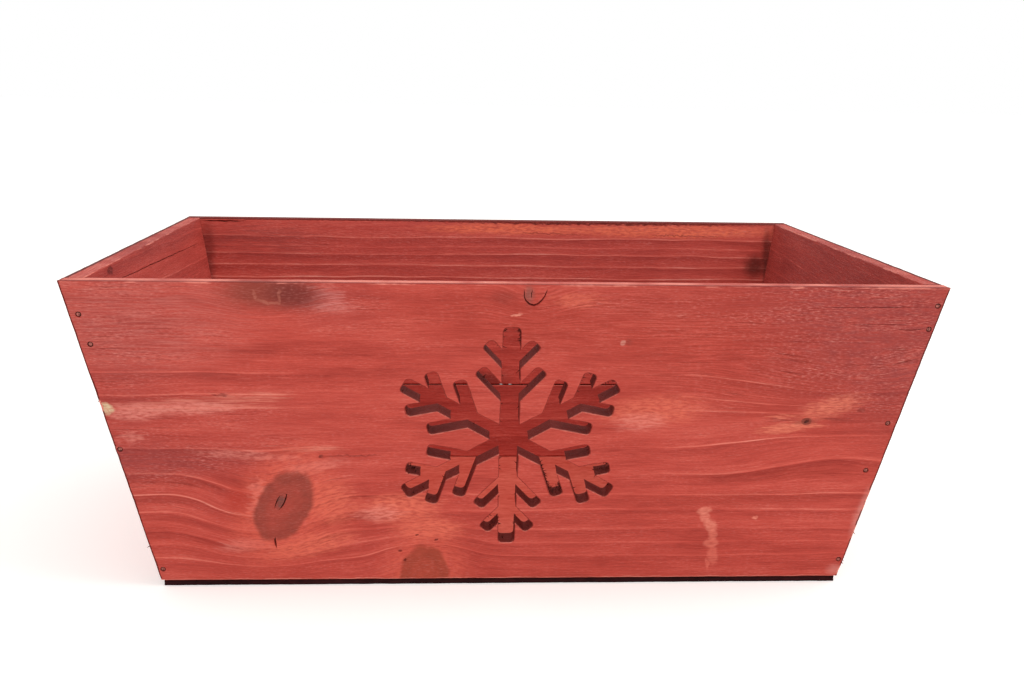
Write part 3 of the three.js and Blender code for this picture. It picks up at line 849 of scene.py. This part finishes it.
for name, board, shape, looks in (
        ("back_lower_board_planed", back_lower,
         # The lower back board's top, hidden in the seam, is painted dark as painted shade, and its inner arris
         # pale as a painted highlight
         dict(rim=Rim(0.4, 0.4, 0.9, 0.1, 0.0, 0.8), meets=[(RIM, SEAM_BULGE, SEAM_GLINTS)]),
         dict(rings=BACK_LOWER_RINGS, shift=(300, 55, 0), tone=-0.02)),
        ("back_upper_board_planed", back_upper,
         # The upper back board's top edge and arrises are painted dark all along: painted shade where the light
         # only grazes its top
         dict(rim=Rim(0.9, 0.9, 0.9, 0.95), meets=[(FOOT, SEAM_BULGE, SEAM_GLINTS)],
              inner_chips=[(RIM, 200, 400, 0.9, 0.0)],
              inner_splits=[([(191, 106.7), (175, 106.6), (161, 106.9)], 1.0, 2.0)]),
         dict(rings=BACK_UPPER_RINGS, streaks=BACK_UPPER_STREAKS, flames=BACK_UPPER_FLAMES,
              smudges=BACK_UPPER_SMUDGES_AND_SHADE, marks=BACK_UPPER_MARKS,
              dull=[((0, 85, BACK_INSIDE), (220, 30), 0.3)], shift=(120, 20, 40), tone=0.04))):
    spruce_board(name, board, dict(shape, rubbed=0.15), dict(looks, crackled=0.5))

END_RINGS = [(12, 0.25, 0.1), (25, 0.25, 0.1), (41, 0.3, 0.15), (55, 0.25, 0.1), (70, 0.25, 0.15),
             (88, 0.25, 0.12), (104, 0.2, 0.1), (118, 0.18, 0.1), (129.5, 0.22, 0.1), (148, 0.2, 0.1)]
END_RIM = Rim(face_dark=1.0, cut_dark=1.0, top_bare=0.36, inner_bare=0.5, cut_line=1.7)
for name, board, shape, looks in (
        ("left_end_board_planed", left_end,
         dict(inner_chips=[(RIM, 120, 9, 0.6, 0.7), (RIM, 97, 5, 0.5, 0.6)],
              inner_splits=[([(108, 147.2), (57, 145.7), (-30, 143.2), (-109, 140.8)], 0.55, 2.5)]),
         dict(dull=[((0, 152, END_INSIDE), (130, 7), 0.45), ((0, 118, END_INSIDE), (130, 22), 0.4)],
              marks=[((85, 152.4, END_INSIDE), (6, 2.4), 0, "#571c19", 0.8)],
              shift=(500, 10, 90), lean=0.03, tone=-0.02)),
        ("right_end_board_planed", right_end,
         dict(inner_chips=[(RIM, 60, 30, 0.5, 0.8)]),
         # Painted shade: the right end's inner face is turned from the light, so it gets a broad dull patch and
         # a darker tone
         dict(dull=[((0, 132, END_INSIDE), (140, 40), 0.75)],
              shift=(700, 90, 10), lean=0.045, tone=-0.08))):
    spruce_board(name, board, dict(shape, rim=END_RIM), dict(looks, rings=END_RINGS, crackled=0.45))

SCREEN_WIRES = 1.8  # mm between the wires of the press screen
ONE_WAVE = math.pi / 10  # the scale at which a wave texture repeats once a unit
SHEET_TOP = (-2.8, -2.95)  # heights, in mm, between which the sheet's cut edge gives way to its upper side


def stained_hardboard(board):
    """Hardboard: pressed wood fibre, smooth above and printed with its press screen below. The stain lies
    evenly on its smooth side, and its cut edges and underside stay nearly black."""
    material, tree = new_material("stained_hardboard")
    where = board.where(tree)
    fluff, cloud = (add(tree, "TexNoise", {
        "Vector": add(tree, "Mapping", {"Vector": where, "Scale": per(*sizes)}),
        "Scale": 1.0, "Detail": 4.0}) for sizes in ((5, 2, 2), (60, 40, 40)))
    mixed = add(tree, "Math", [fluff, cloud], operation="ADD")
    share = add(tree, "MapRange", [mixed, 0.7, 1.3])
    above, below = (add(tree, "Mix", {0: share, 6: linear(deep), 7: linear(pale)}, data_type="RGBA").outputs[2]
                    for deep, pale in (("#c54d3f", "#e06f5d"), ("#1f0b0c", "#381517")))
    height = add(tree, "SeparateXYZ", [where]).outputs[2]
    top = add(tree, "MapRange", [height, *SHEET_TOP, 0.0, 1.0])
    colour = add(tree, "Mix", {0: top, 6: below, 7: above}, data_type="RGBA")
    weave = add(tree, "Mapping", {"Vector": where, "Scale": per(*[SCREEN_WIRES] * 3)})
    screen = [add(tree, "TexWave", {"Vector": weave, "Scale": ONE_WAVE, "Distortion": 0.0},
                  bands_direction=way).outputs["Fac"] for way in "XY"]
    print_of_screen = add(tree, "Math", screen, operation="MULTIPLY")
    level = add(tree, "Mix", {0: top, 2: print_of_screen, 3: fluff})
    bump = add(tree, "Bump", {"Height": level, "Distance": 0.2 * MM, "Strength": 0.5})
    rough = add(tree, "MapRange", [fluff, 0.3, 0.7, 0.7, 0.55])
    shader = add(tree, "BsdfPrincipled", {
        "Base Color": colour.outputs[2], "Roughness": rough, "Normal": bump, "Specular IOR Level": 0.05})
    add(tree, "OutputMaterial", [shader])
    return material


panel = plank("bottom_panel_hardboard", bottom, softness=0.25, rim=Rim(top_dark=0.15))
panel.data.materials.append(stained_hardboard(bottom))


def mottled(name, size, detail, spread, colours, rough, finish):
    """A material that wanders between two colours in patches of a size in mm. Spread is the pattern's values
    that the two colours stand for, rough is how rough the first and the second are, and finish is what else the
    shader takes."""
    material, tree = new_material(name)
    where = add(tree, "TexCoord").outputs["Object"]
    patch = add(tree, "TexNoise", {"Vector": where, "Scale": 1 / (size * MM), "Detail": detail})
    share = add(tree, "MapRange", [patch, *spread])
    first, second = (linear(colour) for colour in colours)
    colour = add(tree, "Mix", {0: share, 6: first, 7: second}, data_type="RGBA").outputs[2]
    roughness = add(tree, "MapRange", [patch, 0.3, 0.7, *rough])
    shader = add(tree, "BsdfPrincipled", {"Base Color": colour, "Roughness": roughness, **finish})
    add(tree, "OutputMaterial", [shader])
    return material


def maker_tree(name, sizes):
    """An empty tree of geometry nodes that takes places, some named sizes and a seed, and what it is given."""
    tree = bpy.data.node_groups.new(name, "GeometryNodeTree")
    tree.interface.new_socket("Geometry", in_out="OUTPUT", socket_type="NodeSocketGeometry")
    for label, kind in (("Places", "Geometry"), *((size, "Float") for size in sizes), ("Seed", "Int")):
        tree.interface.new_socket(label, in_out="INPUT", socket_type="NodeSocket" + kind)
    return tree, add(tree, "NodeGroupInput").outputs


def set_out(tree, given, shape, layer, stray, material, scale=(1, 1, 1)):
    """Ends a maker's tree: a shape at every place, turned the way that the place's own vector says, give or
    take a stray, as plain mesh of one material."""
    vector = add(tree, "GeometryNodeInputNamedAttribute", {"Name": layer}, data_type="FLOAT_VECTOR")
    off = add(tree, "FunctionNodeRandomValue", {
        "Min": (-1, -1, -1), "Max": (1, 1, 1), "Seed": given["Seed"]}, data_type="FLOAT_VECTOR")
    off = add(tree, "VectorMath", {0: off, "Scale": given[stray]}, operation="SCALE")
    way = add(tree, "VectorMath", [vector, off], operation="ADD")
    turn = add(tree, "FunctionNodeAlignRotationToVector", {"Vector": way}, axis="Z")
    placed = add(tree, "GeometryNodeInstanceOnPoints", {
        "Points": given["Places"], "Instance": shape, "Rotation": turn, "Scale": scale})
    real = add(tree, "GeometryNodeRealizeInstances", {"Geometry": placed})
    done = add(tree, "GeometryNodeSetMaterial", {"Geometry": real, "Material": material})
    add(tree, "NodeGroupOutput", [done])


NAIL_OVERLAP = 0.05 * MM  # how far a shank reaches into its head and its point


def nails_tree(material):
    """Sets a nail at every point, its head facing the way that the point's drive attribute says."""
    tree, given = maker_tree(
        "driven_nails", ("Head Radius", "Head Thickness", "Shank Radius", "Length", "Point", "Tilt"))
    crest = add(tree, "Math", [given["Head Radius"], 0.7], operation="MULTIPLY")
    crown = add(tree, "GeometryNodeMeshCone", {
        "Vertices": 20, "Radius Top": crest, "Radius Bottom": given["Head Radius"],
        "Depth": given["Head Thickness"]})
    beneath = add(tree, "Math", [given["Head Thickness"], -1.0], operation="MULTIPLY")
    straight = add(tree, "Math", [given["Length"], given["Point"]], operation="SUBTRACT")
    straight = add(tree, "Math", [straight, given["Head Thickness"]], operation="SUBTRACT")
    depth = add(tree, "Math", [straight, 2 * NAIL_OVERLAP], operation="ADD")
    shank = add(tree, "GeometryNodeMeshCylinder", {
        "Vertices": 12, "Radius": given["Shank Radius"], "Depth": depth})
    middle = add(tree, "Math", [straight, -0.5, beneath], operation="MULTIPLY_ADD")
    tip = add(tree, "GeometryNodeMeshCone", {
        "Vertices": 12, "Radius Top": given["Shank Radius"], "Radius Bottom": 0.0, "Depth": given["Point"]})
    down = add(tree, "Math", [given["Length"], -1.0], operation="MULTIPLY")
    nail = add(tree, "GeometryNodeJoinGeometry")
    for part, level in ((crown, beneath), (shank, middle), (tip, down)):
        lowered = add(tree, "GeometryNodeTransform", {
            "Geometry": part, "Translation": add(tree, "CombineXYZ", {2: level})})
        tree.links.new(lowered.outputs[0], nail.inputs[0])
    set_out(tree, given, nail, "drive", "Tilt", material)
    return tree


def made_by(name, tree, points, vectors, sizes):
    """A plain mesh of what a tree makes at some points, each with its vectors, for the sizes of its inputs."""
    mesh = bpy.data.meshes.new(name + "_places")
    mesh.from_pydata(points, [], [])
    for layer, values in vectors.items():
        attribute = mesh.attributes.new(layer, "FLOAT_VECTOR", "POINT")
        attribute.data.foreach_set("vector", np.array(values, np.float32).ravel())
    maker = put(name + "_maker", mesh)
    modifier = maker.modifiers.new("maker", "NODES")
    modifier.node_group = tree
    for item in tree.interface.items_tree:
        if item.in_out == "INPUT" and item.name in sizes:
            modifier[item.identifier] = sizes[item.name]
    graph = bpy.context.evaluated_depsgraph_get()
    made = bpy.data.meshes.new_from_object(maker.evaluated_get(graph))
    bpy.data.objects.remove(maker)
    made.name = name
    return put(name, made)


# Bright wire nails brushed over with the stain: dull steel with maroon left round the rim of the head
NAIL_STEEL = mottled("stained_nail_steel", 0.9, 3.0, (0.35, 0.65), ("#55201b", "#b5695d"), (0.6, 0.35),
                     {"Metallic": 0.5})
NAIL_SINK = 0.4  # mm from the face of the wood down to the top of a head
NAIL_SIZES = {"Head Radius": 1.2 * MM, "Head Thickness": 0.7 * MM, "Shank Radius": 0.7 * MM, "Point": 2 * MM,
              "Tilt": 0.03, "Seed": 5}
nails = nails_tree(NAIL_STEEL)
for name, boards, length, prefixes in (
        ("wall_nails", (front, back_lower, back_upper), 22, ("nail_front", "nail_back")),
        ("panel_nails", (bottom,), 16, ("nail_bottom",))):
    points = [board.place(a, u, NAIL_SINK).tolist() for board in boards for a, u in board.nail_places]
    drives = [board.out for board in boards for _ in board.nail_places]
    piece = made_by(name, nails, points, {"drive": drives}, {**NAIL_SIZES, "Length": length * MM})
    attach(piece, "root")
    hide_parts(*[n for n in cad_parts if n.startswith(prefixes)])


def fibres_tree(material):
    """Grows a tapering fibre at every point, lying the way that the point's lie attribute says."""
    tree, given = maker_tree("torn_fibres", ("Shortest", "Longest", "Thickness", "Spread"))
    strand = add(tree, "GeometryNodeMeshCone", {
        "Vertices": 5, "Radius Top": 0.01 * MM, "Radius Bottom": given["Thickness"], "Depth": 1.0})
    length = add(tree, "FunctionNodeRandomValue", {
        2: given["Shortest"], 3: given["Longest"], 8: given["Seed"]}, data_type="FLOAT").outputs[1]
    scale = add(tree, "CombineXYZ", [1.0, 1.0, length])
    set_out(tree, given, strand, "lie", "Spread", material, scale)
    return tree


# Torn spruce fibres: dark maroon, mottled paler in patches
FIBRE_WOOD = mottled("torn_spruce_fibre", 2.5, 2.0, (0.35, 0.7), ("#3d100d", "#8a382e"), (0.75, 0.75),
                     {"Specular IOR Level": 0.15})
# Where the saw tore the edge of the snowflake most, along and up the board
TORN_SPOTS = [(17.9, 58.0), (21.6, 51.3), (24.0, 49.5), (39.0, 60.0), (44.3, 62.4), (48.0, 64.6),
              (-46.0, 62.5), (-49.3, 64.7), (0.7, 34.4), (-6.0, 33.3), (34.8, 112.8), (47.1, 109.3),
              (-3.0, 137.0), (4.5, 134.0)]
TORN_REACH = 4.5  # mm round such a spot
TORN_STEP = 0.5  # mm between places where a fibre may have torn
# Single splinters on the slanted edges of the front: the side, how far along it and how deep, in mm
SPLINTERS = [(RIGHT, 26, 1.0), (RIGHT, 8, 0.6), (RIGHT, 9.5, 2.0), (LEFT, 60, 1.0), (LEFT, 140, 0.8)]


def torn_places(board):
    """Where the saw tore the grain round a cut-out, mostly where it crossed the fibres, and how the fibres
    lie."""
    places, lies = [], []
    for loop in board.cut_outs:
        line, _, _, _ = stepped(loop, loop, TORN_STEP)
        normal = left_hand(line)
        normal /= np.linalg.norm(normal, axis=1, keepdims=True)
        across = np.abs(normal[:, 0])
        nearest = np.min([np.linalg.norm(line - spot, axis=1) for spot in TORN_SPOTS], axis=0)
        chance = 0.01 + 0.06 * across ** 2 + 0.8 * (nearest < TORN_REACH)
        for k in np.flatnonzero(rng.uniform(size=len(line)) < chance):
            depth = board.thickness * rng.uniform(0.03, 0.9)
            places.append(board.place(*(line[k] + 0.1 * normal[k]), depth).tolist())
            into = -normal[k] + (0, rng.uniform(-0.5, 0.5))
            lies.append(into[0] * board.along + into[1] * board.up + rng.uniform(-0.2, 0.3) * board.out)
    for side, where, depth in SPLINTERS:
        start, end = board.corners[side], board.corners[(side + 1) % 4]
        a, u = start + (end - start) * where / np.linalg.norm(end - start)
        places.append(board.place(a, u, depth).tolist())
        lies.append(np.sign(a) * board.along - 0.7 * board.up)
    return places, lies


places, lies = torn_places(front)
fibres = made_by("front_board_torn_fibres", fibres_tree(FIBRE_WOOD), places, {"lie": lies}, {
    "Shortest": 0.8 * MM, "Longest": 2.6 * MM, "Thickness": 0.3 * MM, "Spread": 0.4, "Seed": 11})
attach(fibres, "root")
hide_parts("front_board")


FLOOR_SIZE = 40  # metres
FLOOR_GLOW = 0.33  # how much light of its own the floor adds in the camera's eyes, to come out white
LAMPS = [  # name, size in metres, power in watts and place
    ("window", 1.0, 10.0, (1.1, -0.45, 1.5)),
    ("front_fill", 1.6, 5.0, (-0.4, -1.8, 0.5)),
]
LAMPS_AIM = Vector((0, 0, 0.08))


def pale_floor():
    """A plain pale table top, white to the camera where nothing shades it."""
    bpy.ops.mesh.primitive_plane_add(size=FLOOR_SIZE)
    floor = bpy.context.object
    floor.name = "pale_floor"
    material, tree = new_material("pale_floor")
    light = add(tree, "LightPath").outputs
    seen = light["Is Camera Ray"]
    for ray in ("Is Glossy Ray", "Is Transmission Ray"):
        seen = add(tree, "Math", [seen, light[ray]], operation="MAXIMUM")
    glow = add(tree, "Math", [seen, FLOOR_GLOW], operation="MULTIPLY")
    shader = add(tree, "AddShader", [
        add(tree, "BsdfDiffuse", {"Color": linear("#f7f5f0")}),
        add(tree, "Emission", {"Strength": glow})])
    add(tree, "OutputMaterial", [shader])
    floor.data.materials.append(material)


def studio_light():
    """White surroundings, a large soft lamp from above on the right and a weaker one from the front."""
    world = bpy.data.worlds.new("white_studio")
    world.use_nodes = True
    bpy.context.scene.world = world
    tree = world.node_tree
    tree.nodes.clear()
    light = add(tree, "LightPath").outputs
    level = add(tree, "MapRange", {0: light["Is Camera Ray"], 3: 0.9, 4: 1.0})
    sky = add(tree, "Background", {"Color": linear("#ffffff"), "Strength": level})
    add(tree, "OutputWorld", [sky])
    for name, size, power, place in LAMPS:
        lamp = bpy.data.lights.new(name, "AREA")
        lamp.size, lamp.energy = size, power
        holder = put(name, lamp)
        holder.location = place
        holder.rotation_euler = (LAMPS_AIM - holder.location).to_track_quat("-Z", "Y").to_euler()


CAMERA_PLACE = (-0.03081, -0.64066, 0.24074)
CAMERA_TURN = (3.443, 12.546, 1.036)  # degrees to the right, down and over
CAMERA_SENSOR = 36  # mm across
PHOTO_WIDTH, FOCAL_LENGTH = 1024, 1150.57  # pixels


def photo_camera():
    """The camera where the photograph was taken from: 40 mm lens, a little above the rim, tipped down."""
    yaw, pitch, roll = (math.radians(x) for x in CAMERA_TURN)
    forward = Vector((math.sin(yaw) * math.cos(pitch), math.cos(yaw) * math.cos(pitch), -math.sin(pitch)))
    level = Vector((math.cos(yaw), -math.sin(yaw), 0))
    upright = level.cross(forward)
    right = level * math.cos(roll) + upright * math.sin(roll)
    up = upright * math.cos(roll) - level * math.sin(roll)
    lens = bpy.data.cameras.new("photo")
    lens.sensor_width, lens.lens = CAMERA_SENSOR, CAMERA_SENSOR * FOCAL_LENGTH / PHOTO_WIDTH
    camera = put("photo", lens)
    camera.matrix_world = Matrix((right, up, -forward)).transposed().to_4x4()
    camera.location = CAMERA_PLACE
    bpy.context.scene.camera = camera


pale_floor()
studio_light()
photo_camera()
bpy.context.scene.view_settings.view_transform = "Standard"
